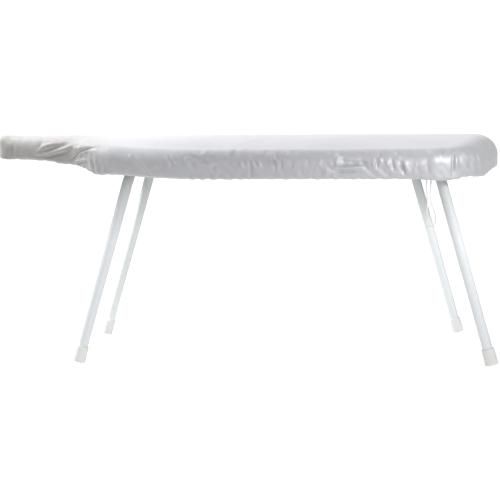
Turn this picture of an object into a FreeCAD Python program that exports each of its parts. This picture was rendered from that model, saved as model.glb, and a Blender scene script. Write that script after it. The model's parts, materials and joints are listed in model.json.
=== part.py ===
"""Low body-shaped ironing board with an arched top and two folding leg frames.

A pressed steel top, arched across its width, stands on two bent-tube leg frames that lean outward
and fold inward under it, one inside the other. A felt pad and a drawstring cover lie over the top.
Millimetres, +X towards the tail, -X towards the nose, +Z up; the origin is on the floor under the
middle of the board.
"""

import FreeCAD, Part
import math
import os
import re
import Sketcher
from FreeCAD import Placement, Rotation, Vector

SIZES = {
    # Plan of the covered board, half of it: corner points of the outline and their radii.
    "board_length": 786,
    "board_half_width": 184,
    "nose_half_width": 57,
    "nose_radius": 45,
    "armpit_station": 262,
    "armpit_half_width": 105,
    "armpit_radius": 45,
    "shoulder_station": 213,
    "shoulder_half_width": 158,
    "shoulder_radius": 70,
    "flank_station": 110,
    "flank_radius": 400,
    "tail_station": 333,
    "tail_radius": 100,
    "tail_half_width": 46,
    "tail_end_radius": 150,
    # Section of the covered board: every layer is a slice of one arch about a line along X.
    "ridge_height": 345,
    "arch_radius": 560,
    "cover_cloth": 1.2,
    "cover_drop": 35,
    "cover_rounding": 12,
    "hem_width": 16,
    "soft_gap": 0.3,
    "pad_depth": 10,
    "pad_wrap": 14,
    "pad_side": 7.8,
    "panel_sheet": 1,
    "rim_sheet": 1,
    "rim_depth": 20.5,
    "steam_hole": 10,
    "steam_pitch_long": 48,
    "steam_pitch_wide": 52,
    # Straps across the underside.
    "strap_sheet": 1.5,
    "rail_width": 44,
    "rib_width": 24,
    "centre_rib_station": 56,
    "nose_rib_station": 310,
    # Leg frames, each a tube bent twice.
    "pivot_height": 296,
    "left_pivot_station": 169,
    "right_pivot_station": 281,
    "left_half_spacing": 135,
    "right_half_spacing": 155,
    "lean": 16,
    "tube_radius": 8,
    "tube_wall": 1,
    "bend_radius": 30,
    # Pivots and stops.
    "pivot_offset": 80,
    "running_gap": 0.05,
    "block_length": 38,
    "block_width": 24,
    "clamp_width": 18,
    "clamp_sheet": 1.5,
    "screw_spacing": 28,
    "screw_radius": 2,
    "screw_head_radius": 4,
    "screw_head_height": 2.4,
    "screw_tip_gap": 0.4,
    "recess_length": 4.8,
    "recess_width": 1,
    "stop_width": 24,
    "stop_depth": 12,
    "stop_flange": 13,
    "stop_lap": 2,
    "stop_gap": 0.3,
    # Feet.
    "cap_radius": 10.3,
    "cap_mouth_radius": 9.7,
    "cap_length": 25,
    "cap_floor": 3,
    "cap_rounding": 1.5,
    "sole_rise": 1.7,
    # Drawstring.
    "cord_thickness": 2.2,
    "drawstring_inset": 13.5,
    "drawstring_gap": 0.2,
    # How far cutters and blanks run past the pieces that they shape.
    "overrun": 10,
    "blank_height": 60,
}

# Route of the loop of drawstring that hangs from the hem, from one end to the other.
LOOP_ROUTE = [
    (263.9, -169.3, 284.6),
    (263.9, -169.6, 263.8),
    (266.0, -170.2, 240.5),
    (263.0, -170.0, 223.0),
    (263.5, -169.8, 209.0),
    (277.5, -169.6, 208.5),
    (278.5, -169.7, 222.5),
    (273.0, -170.2, 236.0),
    (268.8, -170.0, 252.0),
    (270.4, -169.5, 268.5),
    (270.2, -169.3, 284.6),
]

FAR = 460
TOLERANCE = 0.01
VOLUME_TOLERANCE = 0.02
ARC_SHARE = 0.45
X_AXIS = Rotation(Vector(0, 1, 0), 90)
Y_AXIS = Rotation(Vector(1, 0, 0), 90)

doc = FreeCAD.newDocument("IroningBoard")
sheet = doc.addObject("Spreadsheet::Sheet", "Sizes")
for row, (alias, size) in enumerate(SIZES.items(), start=1):
    sheet.set(f"A{row}", alias)
    sheet.set(f"B{row}", str(size))
    sheet.setAlias(f"B{row}", alias)
doc.recompute()

nodes = []


def expand(formula):
    """Turn bare aliases in a formula into references to the sheet."""

    def refer(match):
        word = match.group()
        return f"Sizes.{word}" if word in SIZES else word

    return re.sub(r"[a-z_]+", refer, formula)


def number(formula):
    """Value of a formula over the sheet's aliases, as a plain number."""
    return float(sheet.evalExpression(expand(formula)))


def bind(thing, **formulas):
    """Bind properties to formulas; x, y and z stand for the placement's position."""
    for name, formula in formulas.items():
        path = f"Placement.Base.{name}" if name in ("x", "y", "z") else name
        thing.setExpression(path, expand(formula))
    return thing


def keep(thing, label):
    """Mark an object as a finished piece under the name that its file takes."""
    thing.Label = label
    nodes.append(thing)
    return thing


# ---- primitives and booleans ------------------------------------------------------------------


def box(name, length, width, height, x="0", y="0", z="0"):
    """Box whose position is its middle in X and Y and its underside in Z."""
    thing = doc.addObject("Part::Box", name)
    bind(thing, Length=length, Width=width, Height=height)
    return bind(thing, x=f"{x} - ( {length} ) / 2", y=f"{y} - ( {width} ) / 2", z=z)


def cylinder(name, radius, height, rotation, x="0", y="0", z="0"):
    thing = doc.addObject("Part::Cylinder", name)
    thing.Placement = Placement(Vector(), rotation)
    return bind(thing, Radius=radius, Height=height, x=x, y=y, z=z)


def cut(name, base, tool):
    thing = doc.addObject("Part::Cut", name)
    thing.Base = base
    thing.Tool = tool
    return thing


def common(name, base, tool):
    thing = doc.addObject("Part::Common", name)
    thing.Base = base
    thing.Tool = tool
    return thing


def fuse(name, *parts):
    thing = doc.addObject("Part::MultiFuse", name)
    thing.Shapes = list(parts)
    return thing


def group(name, parts):
    thing = doc.addObject("Part::Compound", name)
    thing.Links = list(parts)
    return thing


# ---- outline and arch -------------------------------------------------------------------------

HALF_OUTLINE = [
    ("-board_length / 2", "nose_half_width", "nose_radius"),
    ("-armpit_station", "armpit_half_width", "armpit_radius"),
    ("-shoulder_station", "shoulder_half_width", "shoulder_radius"),
    ("-flank_station", "board_half_width", "flank_radius"),
    ("tail_station", "board_half_width", "tail_radius"),
    ("board_length / 2", "tail_half_width", "tail_end_radius"),
]


def signed(formula):
    """Sign and unsigned formula of a coordinate."""
    if formula.startswith("-"):
        return -1, formula[1:]
    return 1, formula


def corner_points(corners):
    return [
        Vector(
            signed(x)[0] * number(signed(x)[1]),
            signed(y)[0] * number(signed(y)[1]),
            0,
        )
        for x, y, _ in corners
    ]


def rounded_polygon(sketch, corners):
    """Closed outline of tangent lines and arcs, each corner held by its point and its radius."""
    points = corner_points(corners)
    count = len(points)
    starts, ends, arcs = [], [], []
    for index, (_, _, radius_formula) in enumerate(corners):
        here = points[index]
        back = (points[index - 1] - here).normalize()
        ahead = (points[(index + 1) % count] - here).normalize()
        half = back.getAngle(ahead) / 2
        radius = number(radius_formula)
        centre = here + (back + ahead).normalize() * (radius / math.sin(half))
        starts.append(here + back * (radius / math.tan(half)))
        ends.append(here + ahead * (radius / math.tan(half)))
        turns_left = back.cross(ahead).z < 0
        first, last = (starts[-1], ends[-1]) if turns_left else (ends[-1], starts[-1])
        angles = [math.atan2(p.y - centre.y, p.x - centre.x) for p in (first, last)]
        circle = Part.Circle(centre, Vector(0, 0, 1), radius)
        arcs.append((Part.ArcOfCircle(circle, angles[0], angles[1]), turns_left))
    lines = [
        sketch.addGeometry(Part.LineSegment(ends[index - 1], starts[index]), False)
        for index in range(count)
    ]
    for index, (x, y, radius_formula) in enumerate(corners):
        arc, turns_left = arcs[index]
        arc_id = sketch.addGeometry(arc, False)
        point_id = sketch.addGeometry(Part.Point(points[index]), True)
        before, after = lines[index], lines[(index + 1) % count]
        near, far = (1, 2) if turns_left else (2, 1)
        sketch.addConstraint(Sketcher.Constraint("Tangent", before, 2, arc_id, near))
        sketch.addConstraint(Sketcher.Constraint("Tangent", arc_id, far, after, 1))
        sketch.addConstraint(Sketcher.Constraint("PointOnObject", point_id, 1, before))
        sketch.addConstraint(Sketcher.Constraint("PointOnObject", point_id, 1, after))
        hold(sketch, Sketcher.Constraint("Radius", arc_id, arc.Radius), radius_formula)
        for kind, formula in (("DistanceX", x), ("DistanceY", y)):
            side, size = signed(formula)
            ends_at = (-1, 1, point_id, 1) if side > 0 else (point_id, 1, -1, 1)
            hold(sketch, Sketcher.Constraint(kind, *ends_at, number(size)), size)


def hold(sketch, constraint, formula):
    """Add a dimension to a sketch and bind it to a formula."""
    index = sketch.addConstraint(constraint)
    sketch.setExpression(f"Constraints[{index}]", expand(formula))


def mirrored(corners):
    """The same corners on the other side of the board, in the order that closes the outline."""
    return [(x, f"-{y}", radius) for x, y, radius in reversed(corners)]


outline = doc.addObject("Sketcher::SketchObject", "Outline")
rounded_polygon(outline, HALF_OUTLINE + mirrored(HALF_OUTLINE))

ARCH_CENTRE = "ridge_height - arch_radius - pad_depth - cover_cloth - 2 * soft_gap"
COVER_TOP = "( arch_radius + pad_depth + cover_cloth + 2 * soft_gap )"
COVER_BOTTOM = f"( {COVER_TOP} - cover_drop )"
PANEL_UNDER = "( arch_radius - panel_sheet )"
STRAP_UNDER = f"( {PANEL_UNDER} - strap_sheet )"
PANEL_INSET = "( cover_cloth + 2 * soft_gap + pad_side )"


def arch_height(radius, y):
    """Height of the arch at a radius, at a distance from the middle plane."""
    return number(ARCH_CENTRE) + math.sqrt(number(radius) ** 2 - number(y) ** 2)


def plan(name, inset):
    """Column of the board's outline, drawn in by an inset."""
    base = outline
    if inset != "0":
        base = doc.addObject("Part::Offset2D", f"{name}Outline")
        base.Source = outline
        bind(base, Value=f"-1 * ( {inset} )")
    thing = doc.addObject("Part::Extrusion", f"{name}Column")
    thing.Base = base
    thing.DirMode = "Custom"
    thing.Dir = Vector(0, 0, 1)
    thing.Solid = True
    return bind(thing, LengthFwd="ridge_height + overrun")


def under_arch(name, radius):
    """Everything inside the arch at a radius."""
    return cylinder(name, radius, f"2 * {FAR}", X_AXIS, x=f"-{FAR}", z=ARCH_CENTRE)


def layer(name, inner, outer):
    """Everything between two radii of the arch."""
    return cut(name, under_arch(f"{name}Outer", outer), under_arch(f"{name}Inner", inner))


def edges_at_arch(shape, radius):
    """Numbers of the edges that lie on the arch at a radius."""
    centre = number(ARCH_CENTRE)
    found = []
    for index, edge in enumerate(shape.Edges, start=1):
        middle = edge.valueAt((edge.FirstParameter + edge.LastParameter) / 2)
        if abs(math.hypot(middle.y, middle.z - centre) - radius) < TOLERANCE:
            found.append(index)
    return found


def rounded_top(name, base, radius_formula, rounding_formula):
    """Round the upper edge of a slab of the arch."""
    doc.recompute()
    rounding = number(rounding_formula)
    thing = doc.addObject("Part::Fillet", name)
    thing.Base = base
    edges = edges_at_arch(base.Shape, number(radius_formula))
    thing.Edges = [(index, rounding, rounding) for index in edges]
    return thing


# ---- soft covering ----------------------------------------------------------------------------


def make_cover():
    """Cloth over the top, down the sides and turned in under the rim, with a notch for the cord."""
    outside = common("CoverSlab", plan("Cover", "0"), layer("CoverLayer", COVER_BOTTOM, COVER_TOP))
    outside = rounded_top("CoverOutside", outside, COVER_TOP, "cover_rounding")
    inner_low = f"( {COVER_BOTTOM} + cover_cloth )"
    inner_high = f"( {COVER_TOP} - cover_cloth )"
    inside = common(
        "CoverRoomSlab",
        plan("CoverRoom", "cover_cloth"),
        layer("CoverRoomLayer", inner_low, inner_high),
    )
    inside = rounded_top("CoverInside", inside, inner_high, "cover_rounding - cover_cloth")
    return_top = f"( {inner_low} + soft_gap )"
    mouth = common("CoverMouth", plan("Mouth", "hem_width"), under_arch("MouthArch", return_top))
    first = LOOP_ROUTE[0]
    last = LOOP_ROUTE[-1]
    notch = box(
        "CordNotch",
        f"{last[0] - first[0]} + 2 * cord_thickness",
        "3 * cord_thickness",
        "2 * overrun",
        x=f"{(first[0] + last[0]) / 2}",
        y="-board_half_width + hem_width",
        z=f"{first[2]} - overrun",
    )
    shell = cut("CoverShell", outside, fuse("CoverHollow", inside, mouth))
    slot = common("CordSlot", notch, under_arch("CordSlotArch", return_top))
    keep(cut("CoverPiece", shell, slot), "cover")


def make_pad():
    """Felt pad over the top and part of the way down the rim."""
    high = "( arch_radius + soft_gap + pad_depth )"
    low = "( arch_radius - pad_wrap )"
    outside = common(
        "PadSlab",
        plan("Pad", "cover_cloth + soft_gap"),
        layer("PadLayer", low, high),
    )
    outside = rounded_top("PadOutside", outside, high, "cover_rounding - cover_cloth - soft_gap")
    room = common(
        "PadRoom",
        plan("PadInside", f"{PANEL_INSET} - soft_gap"),
        under_arch("PadRoomArch", "arch_radius + soft_gap"),
    )
    keep(cut("PadPiece", outside, room), "felt_pad")


# ---- steel top --------------------------------------------------------------------------------


def steam_holes():
    """Cutters for the rows of holes in the top, wherever a whole hole fits on the sheet."""
    pitch_long = number("steam_pitch_long")
    pitch_wide = number("steam_pitch_wide")
    radius = number("steam_hole / 2")
    sheet_face = Part.Face(outline.Shape.makeOffset2D(-number(f"{PANEL_INSET} + 2 * steam_hole")))
    reach = Vector(0, 0, number("ridge_height"))
    columns = int(number("board_length / 2") / pitch_long)
    lanes = int(number("board_half_width") / pitch_wide)
    cutters = []
    for column in range(-columns, columns + 1):
        for lane in range(-lanes, lanes + 1):
            spot = Vector(column * pitch_long, lane * pitch_wide, 0)
            if sheet_face.isInside(spot, TOLERANCE, True):
                cutters.append(Part.makeCylinder(radius, reach.z, spot, reach))
    thing = doc.addObject("Part::Feature", "SteamHoles")
    thing.Shape = Part.makeCompound(cutters)
    return thing


def make_top():
    """Arched sheet with steam holes, and the band under its edge."""
    blank = common(
        "TopBlank",
        plan("Top", PANEL_INSET),
        layer("TopLayer", PANEL_UNDER, "arch_radius"),
    )
    keep(cut("TopPiece", blank, steam_holes()), "steel_top")
    rim_inner = plan("RimInner", f"{PANEL_INSET} + rim_sheet")
    band = cut("RimWall", plan("RimOuter", PANEL_INSET), rim_inner)
    slice_of_arch = layer("RimLayer", f"( {PANEL_UNDER} - rim_depth )", PANEL_UNDER)
    keep(common("RimPiece", band, slice_of_arch), "rim_band")


def strap(name, label, width, station, holes=()):
    """Sheet strap that follows the underside of the top from rim to rim."""
    blank = common(
        f"{name}Blank",
        plan(name, f"{PANEL_INSET} + rim_sheet + soft_gap"),
        layer(f"{name}Layer", STRAP_UNDER, PANEL_UNDER),
    )
    cutter = box(f"{name}Cut", width, f"2 * {FAR}", "ridge_height", x=station)
    piece = common(f"{name}Strap", blank, cutter)
    if holes:
        piece = cut(f"{name}Drilled", piece, group(f"{name}Holes", holes))
    keep(piece, label)


# ---- pivots -----------------------------------------------------------------------------------

SIDES = {"front": -1, "back": 1}
FRAMES = {
    "left": ("-1 * left_pivot_station", "left_half_spacing", -1),
    "right": ("right_pivot_station", "right_half_spacing", 1),
}


def screw_spots(frame):
    """Middle of each pivot screw of a frame, as formulas of x and y."""
    pivot = FRAMES[frame][0]
    return [
        (f"{pivot} + {end} * screw_spacing / 2", f"{side} * pivot_offset")
        for side in SIDES.values()
        for end in (-1, 1)
    ]


def screw_drills(name, frame):
    """Cutters for the screw holes of a frame, from below its clamps to above its rail."""
    radius = "screw_radius + running_gap"
    return [
        cylinder(f"{name}Drill{index}", radius, "blank_height", Rotation(), x, y, "pivot_height - overrun")
        for index, (x, y) in enumerate(screw_spots(frame))
    ]


def tube_cutter(name, frame, side):
    """Cutter for the bore that a frame's crossbar turns in."""
    y = f"{SIDES[side]} * pivot_offset + block_width"
    radius = "tube_radius + running_gap"
    pivot = FRAMES[frame][0]
    return cylinder(f"{name}Bore", radius, "2 * block_width", Y_AXIS, pivot, y, "pivot_height")


def pivot_block(frame, side):
    """Nylon block between the rail and the crossbar, bored for the upper half of the tube."""
    name = f"{frame}{side}Block".title()
    pivot = FRAMES[frame][0]
    y = f"{SIDES[side]} * pivot_offset"
    blank = box(f"{name}Box", "block_length", "block_width", "blank_height", pivot, y, "pivot_height")
    shaped = common(f"{name}Shaped", blank, under_arch(f"{name}Arch", STRAP_UNDER))
    holes = group(f"{name}Holes", [tube_cutter(name, frame, side), *screw_drills(name, frame)])
    keep(cut(f"{name}Piece", shaped, holes), f"pivot_block_{frame}_{side}")


def pivot_clamp(frame, side):
    """Steel strap that closes the bore from below: a half ring with a flange each side."""
    name = f"{frame}{side}Clamp".title()
    pivot = FRAMES[frame][0]
    y = f"{SIDES[side]} * pivot_offset"
    ring = cylinder(
        f"{name}Ring",
        "tube_radius + running_gap + clamp_sheet",
        "clamp_width",
        Y_AXIS,
        x=pivot,
        y=f"{y} + clamp_width / 2",
        z="pivot_height",
    )
    flange = box(
        f"{name}Flange",
        "block_length",
        "clamp_width",
        "clamp_sheet",
        pivot,
        y,
        "pivot_height - clamp_sheet",
    )
    upper = box(
        f"{name}Upper",
        "block_length",
        "2 * clamp_width",
        "blank_height",
        pivot,
        y,
        "pivot_height",
    )
    bore = tube_cutter(name, frame, side)
    away = group(f"{name}Away", [upper, bore, *screw_drills(name, frame)])
    blank = fuse(f"{name}Blank", ring, flange)
    keep(cut(f"{name}Piece", blank, away), f"pivot_clamp_{frame}_{side}")


def pivot_screws(frame):
    """Pan-head screws that hold a frame's clamps and blocks to its rail."""
    screws = []
    head_under = "pivot_height - clamp_sheet - screw_head_height"
    tip = arch_height(PANEL_UNDER, "pivot_offset") - number("screw_tip_gap")
    recess = (("recess_length", "recess_width"), ("recess_width", "recess_length"))
    for index, (x, y) in enumerate(screw_spots(frame)):
        name = f"{frame}Screw{index}".title()
        shank = cylinder(
            f"{name}Shank",
            "screw_radius",
            f"{tip} - pivot_height + clamp_sheet",
            Rotation(),
            x=x,
            y=y,
            z="pivot_height - clamp_sheet",
        )
        head = cylinder(
            f"{name}Head",
            "screw_head_radius",
            "screw_head_height",
            Rotation(),
            x=x,
            y=y,
            z=head_under,
        )
        slots = [
            box(f"{name}Slot{turn}", length, width, "screw_head_height / 2", x, y, head_under)
            for turn, (length, width) in enumerate(recess)
        ]
        blank = fuse(f"{name}Blank", shank, head)
        screws.append(cut(name, blank, group(f"{name}Recess", slots)))
    keep(group(f"{frame}Screws".title(), screws), f"pivot_screws_{frame}")


def leg_stop(frame, side):
    """Angle bracket welded under the rail; its leaning web meets the outer side of the leg."""
    name = f"{frame}{side}Stop".title()
    pivot, half_spacing, out = FRAMES[frame]
    y = f"{SIDES[side]} * ( {half_spacing} - tube_radius + stop_width / 6 )"
    near = "( tube_radius + stop_gap )"
    reach = near if out > 0 else "-1 * ( tube_radius + stop_gap + strap_sheet )"
    web = box(f"{name}Web", "strap_sheet", "stop_width", "blank_height")
    web.Placement = Placement(Vector(), Rotation(Vector(0, 1, 0), -out * number("lean")))
    bind(
        web,
        x=f"{pivot} + {reach} * cos(lean * 1deg) + {out} * stop_depth * sin(lean * 1deg)",
        y=f"{y} - stop_width / 2",
        z=f"pivot_height + {out} * {reach} * sin(lean * 1deg) - stop_depth * cos(lean * 1deg)",
    )
    trimmed = common(f"{name}WebTrim", web, under_arch(f"{name}WebArch", STRAP_UNDER))
    flange_blank = box(
        f"{name}FlangeBox",
        "stop_flange",
        "stop_width",
        "blank_height",
        f"{pivot} + {out} * ( tube_radius + stop_flange / 2 - stop_lap )",
        y,
        "pivot_height - overrun",
    )
    flange_arch = layer(f"{name}FlangeLayer", f"( {STRAP_UNDER} - strap_sheet )", STRAP_UNDER)
    flange = common(f"{name}Flange", flange_blank, flange_arch)
    keep(fuse(f"{name}Piece", trimmed, flange), f"leg_stop_{frame}_{side}")


# ---- leg frames -------------------------------------------------------------------------------

LEG_REACH = "( pivot_height - sole_rise ) / cos(lean * 1deg)"


def plane_of(body, role):
    return next(item for item in body.Origin.OriginFeatures if item.Role == role)


def new_body(label, frame):
    """Body standing in the leaning plane of a leg frame, with its origin on the pivot line."""
    pivot, _, out = FRAMES[frame]
    body = doc.addObject("PartDesign::Body", label.title().replace("_", ""))
    body.Placement = Placement(Vector(), Rotation(Vector(0, 1, 0), -out * number("lean")))
    bind(body, x=pivot, z="pivot_height")
    return keep(body, label)


def sketch_on(body, name, role):
    sketch = body.newObject("Sketcher::SketchObject", name)
    sketch.AttachmentSupport = [(plane_of(body, role), "")]
    sketch.MapMode = "FlatFace"
    return sketch


def leg_frame(frame):
    """Tube bent into an upside-down U: crossbar on the pivot line, two straight legs."""
    half_spacing = FRAMES[frame][1]
    spread = number(half_spacing)
    reach = number(f"{LEG_REACH} - cap_floor")
    bend = number("bend_radius")
    body = new_body(f"leg_frame_{frame}", frame)
    path = sketch_on(body, f"{frame}Path", "YZ_Plane")
    straight = [
        ((-spread, -reach), (-spread, -bend)),
        ((-spread + bend, 0), (spread - bend, 0)),
        ((spread, -bend), (spread, -reach)),
    ]
    for start, end in straight:
        path.addGeometry(Part.LineSegment(Vector(*start, 0), Vector(*end, 0)), False)
    for side, first, last in ((-1, math.pi / 2, math.pi), (1, 0, math.pi / 2)):
        circle = Part.Circle(Vector(side * (spread - bend), -bend, 0), Vector(0, 0, 1), bend)
        path.addGeometry(Part.ArcOfCircle(circle, first, last), False)
    joints = [(0, 2, 3, 2), (3, 1, 1, 1), (1, 2, 4, 2), (4, 1, 2, 1)]
    for joint in joints:
        path.addConstraint(Sketcher.Constraint("Tangent", *joint))
    path.addConstraint(Sketcher.Constraint("Vertical", 0))
    path.addConstraint(Sketcher.Constraint("Vertical", 2))
    path.addConstraint(Sketcher.Constraint("PointOnObject", 1, 1, -1))
    path.addConstraint(Sketcher.Constraint("Symmetric", 0, 1, 2, 2, -2))
    hold(path, Sketcher.Constraint("Radius", 3, bend), "bend_radius")
    hold(path, Sketcher.Constraint("Radius", 4, bend), "bend_radius")
    hold(path, Sketcher.Constraint("DistanceX", 0, 1, 2, 2, 2 * spread), f"2 * {half_spacing}")
    hold(path, Sketcher.Constraint("DistanceY", 0, 1, -1, 1, reach), f"{LEG_REACH} - cap_floor")
    section = sketch_on(body, f"{frame}Section", "XY_Plane")
    section.setExpression("AttachmentOffset.Base.z", expand(f"-1 * ( {LEG_REACH} - cap_floor )"))
    for index, radius in enumerate(("tube_radius", "( tube_radius - tube_wall )")):
        circle = Part.Circle(Vector(0, -spread, 0), Vector(0, 0, 1), number(radius))
        section.addGeometry(circle, False)
        section.addConstraint(Sketcher.Constraint("PointOnObject", index, 3, -2))
        hold(section, Sketcher.Constraint("Radius", index, number(radius)), radius)
        down = Sketcher.Constraint("DistanceY", index, 3, -1, 1, spread)
        hold(section, down, half_spacing)
    tube = body.newObject("PartDesign::AdditivePipe", f"{frame}Tube")
    tube.Profile = section
    tube.Spine = (path, [])
    path.Visibility = False


def foot_cap(frame, side):
    """Moulded cap over the end of a leg, square to the tube, with a small level sole."""
    _, half_spacing, out = FRAMES[frame]
    name = f"{frame}{side}Cap".title()
    body = new_body(f"foot_cap_{frame}_{side}", frame)
    bind(body, y=f"{SIDES[side]} * {half_spacing}")
    profile = sketch_on(body, f"{name}Profile", "XZ_Plane")
    end = -number(LEG_REACH)
    mouth = end + number("cap_length")
    inner = number("tube_radius")
    outer = number("cap_radius")
    rim = number("cap_mouth_radius")
    floor = end + number("cap_floor")
    points = [(0, end), (outer, end), (rim, mouth), (inner, mouth), (inner, floor), (0, floor)]
    count = len(points)
    for index in range(count):
        line = Part.LineSegment(Vector(*points[index], 0), Vector(*points[(index + 1) % count], 0))
        profile.addGeometry(line, False)
    for index in range(count):
        after = (index + 1) % count
        profile.addConstraint(Sketcher.Constraint("Coincident", index, 2, after, 1))
    for kind, lines in (("Horizontal", (0, 2, 4)), ("Vertical", (3, 5))):
        for line in lines:
            profile.addConstraint(Sketcher.Constraint(kind, line))
    profile.addConstraint(Sketcher.Constraint("PointOnObject", 0, 1, -2))
    hold(profile, Sketcher.Constraint("DistanceY", 0, 1, -1, 1, -end), LEG_REACH)
    hold(profile, Sketcher.Constraint("DistanceX", -1, 1, 1, 1, outer), "cap_radius")
    hold(profile, Sketcher.Constraint("DistanceX", -1, 1, 2, 1, rim), "cap_mouth_radius")
    hold(profile, Sketcher.Constraint("DistanceX", -1, 1, 3, 1, inner), "tube_radius")
    hold(profile, Sketcher.Constraint("DistanceY", 0, 1, 2, 1, mouth - end), "cap_length")
    hold(profile, Sketcher.Constraint("DistanceY", 0, 1, 4, 2, floor - end), "cap_floor")
    turned = body.newObject("PartDesign::Revolution", f"{name}Turned")
    turned.Profile = profile
    turned.ReferenceAxis = (profile, ["V_Axis"])
    turned.Angle = 360
    doc.recompute()
    edges = [
        f"Edge{index}"
        for index, edge in enumerate(turned.Shape.Edges, start=1)
        if abs(edge.BoundBox.ZMax - end) < TOLERANCE and edge.BoundBox.XLength > outer
    ]
    rounded = body.newObject("PartDesign::Fillet", f"{name}Rounded")
    rounded.Base = (turned, edges)
    bind(rounded, Radius="cap_rounding")
    sole = sketch_on(body, f"{name}Sole", "XZ_Plane")
    # The floor crosses the leaning section as a tilted line below the pivot.
    lean = math.radians(number("lean"))
    drop = "pivot_height / cos(lean * 1deg)"
    along = Vector(math.cos(lean), -out * math.sin(lean), 0) * 2 * outer
    down = Vector(-out * math.sin(lean), -math.cos(lean), 0) * outer
    foot = Vector(0, -number(drop), 0)
    corners = [foot - along, foot + along, foot + along + down, foot - along + down]
    for index in range(4):
        sole.addGeometry(Part.LineSegment(corners[index], corners[(index + 1) % 4]), False)
    middle = sole.addGeometry(Part.Point(foot), True)
    for index in range(4):
        sole.addConstraint(Sketcher.Constraint("Coincident", index, 2, (index + 1) % 4, 1))
    sole.addConstraint(Sketcher.Constraint("PointOnObject", middle, 1, -2))
    sole.addConstraint(Sketcher.Constraint("PointOnObject", middle, 1, 0))
    hold(sole, Sketcher.Constraint("DistanceY", middle, 1, -1, 1, number(drop)), drop)
    hold(sole, Sketcher.Constraint("Angle", 0, -out * lean), f"{-out} * lean * 1deg")
    worn = body.newObject("PartDesign::Pocket", f"{name}Level")
    worn.Profile = sole
    worn.Type = "ThroughAll"
    worn.SideType = "Symmetric"
    doc.recompute()
    if not worn.Shape.Volume < rounded.Shape.Volume:
        raise RuntimeError(f"{name}: the sole was not levelled")


# ---- drawstring -------------------------------------------------------------------------------


def make_drawstring():
    """Flat braid that lies in the hem all round the board."""
    band = cut(
        "DrawstringWall",
        plan("DrawstringOuter", "drawstring_inset"),
        plan("DrawstringInner", "drawstring_inset + cord_thickness"),
    )
    low = f"( {COVER_BOTTOM} + cover_cloth + drawstring_gap )"
    ring = layer("DrawstringLayer", low, f"{low} + cord_thickness")
    keep(common("DrawstringPiece", band, ring), "hem_drawstring")


def tangent_path(route):
    """Wire of straight runs joined by the largest tangent arcs that the runs allow."""
    points = [Vector(*point) for point in route]
    edges = []
    radii = []
    at = points[0]
    for before, here, after in zip(points, points[1:], points[2:]):
        back = before - here
        ahead = after - here
        turn = math.pi - back.getAngle(ahead)
        set_back = ARC_SHARE * min(back.Length, ahead.Length)
        radii.append(set_back / math.tan(turn / 2))
        start = here + back.normalize() * set_back
        end = here + ahead.normalize() * set_back
        bisector = (back + ahead).normalize()
        to_centre = math.hypot(set_back, radii[-1])
        middle = here + bisector * (to_centre - radii[-1])
        edges.append(Part.LineSegment(at, start).toShape())
        edges.append(Part.Arc(start, middle, end).toShape())
        at = end
    edges.append(Part.LineSegment(at, points[-1]).toShape())
    return Part.Wire(edges), radii


def make_loop():
    """The loop of drawstring that hangs out of the hem."""
    path, radii = tangent_path(LOOP_ROUTE)
    radius = number("cord_thickness / 2")
    start = Vector(*LOOP_ROUTE[0])
    direction = Vector(*LOOP_ROUTE[1]) - start
    section = Part.Wire(Part.Circle(start, direction, radius).toShape())
    tube = path.makePipeShell([section], True, False)
    expected = math.pi * radius**2 * path.Length
    if abs(tube.Volume - expected) > VOLUME_TOLERANCE * expected:
        raise RuntimeError("the cord's volume does not match its length")
    print("cord length", round(path.Length, 1), "radii", [round(size, 1) for size in radii])
    thing = doc.addObject("Part::Feature", "LoopPiece")
    thing.Shape = tube
    keep(thing, "drawstring_loop")


# ---- assembly ---------------------------------------------------------------------------------


make_cover()
make_pad()
make_top()
for frame_name, (station, _, _) in FRAMES.items():
    name = f"{frame_name.title()}Rail"
    strap(name, f"pivot_rail_{frame_name}", "rail_width", station, screw_drills(name, frame_name))
strap("CentreRib", "centre_rib", "rib_width", "centre_rib_station")
strap("NoseRib", "nose_rib", "rib_width", "-1 * nose_rib_station")
for frame_name in FRAMES:
    for side_name in SIDES:
        pivot_block(frame_name, side_name)
        pivot_clamp(frame_name, side_name)
        leg_stop(frame_name, side_name)
        foot_cap(frame_name, side_name)
    pivot_screws(frame_name)
    leg_frame(frame_name)
make_drawstring()
make_loop()

doc.recompute()
for thing in doc.Objects:
    if {"Invalid", "Error"} & set(thing.State):
        raise RuntimeError(f"{thing.Name} failed: {thing.State}")
os.makedirs("parts", exist_ok=True)
for node in nodes:
    if node.Shape.isNull() or not node.Shape.isValid():
        raise RuntimeError(f"{node.Label} has no valid shape")
    node.Shape.exportStep(f"parts/{node.Label}.step")
    print(node.Label, "solids", len(node.Shape.Solids), "volume", round(node.Shape.Volume))
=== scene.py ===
"""Looks of the table ironing board: silver cover, felt, enamelled steel, white tube legs."""

import json
import math

import bmesh
import bpy
import numpy as np
from mathutils import Matrix, Vector, bvhtree, geometry, kdtree


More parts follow.
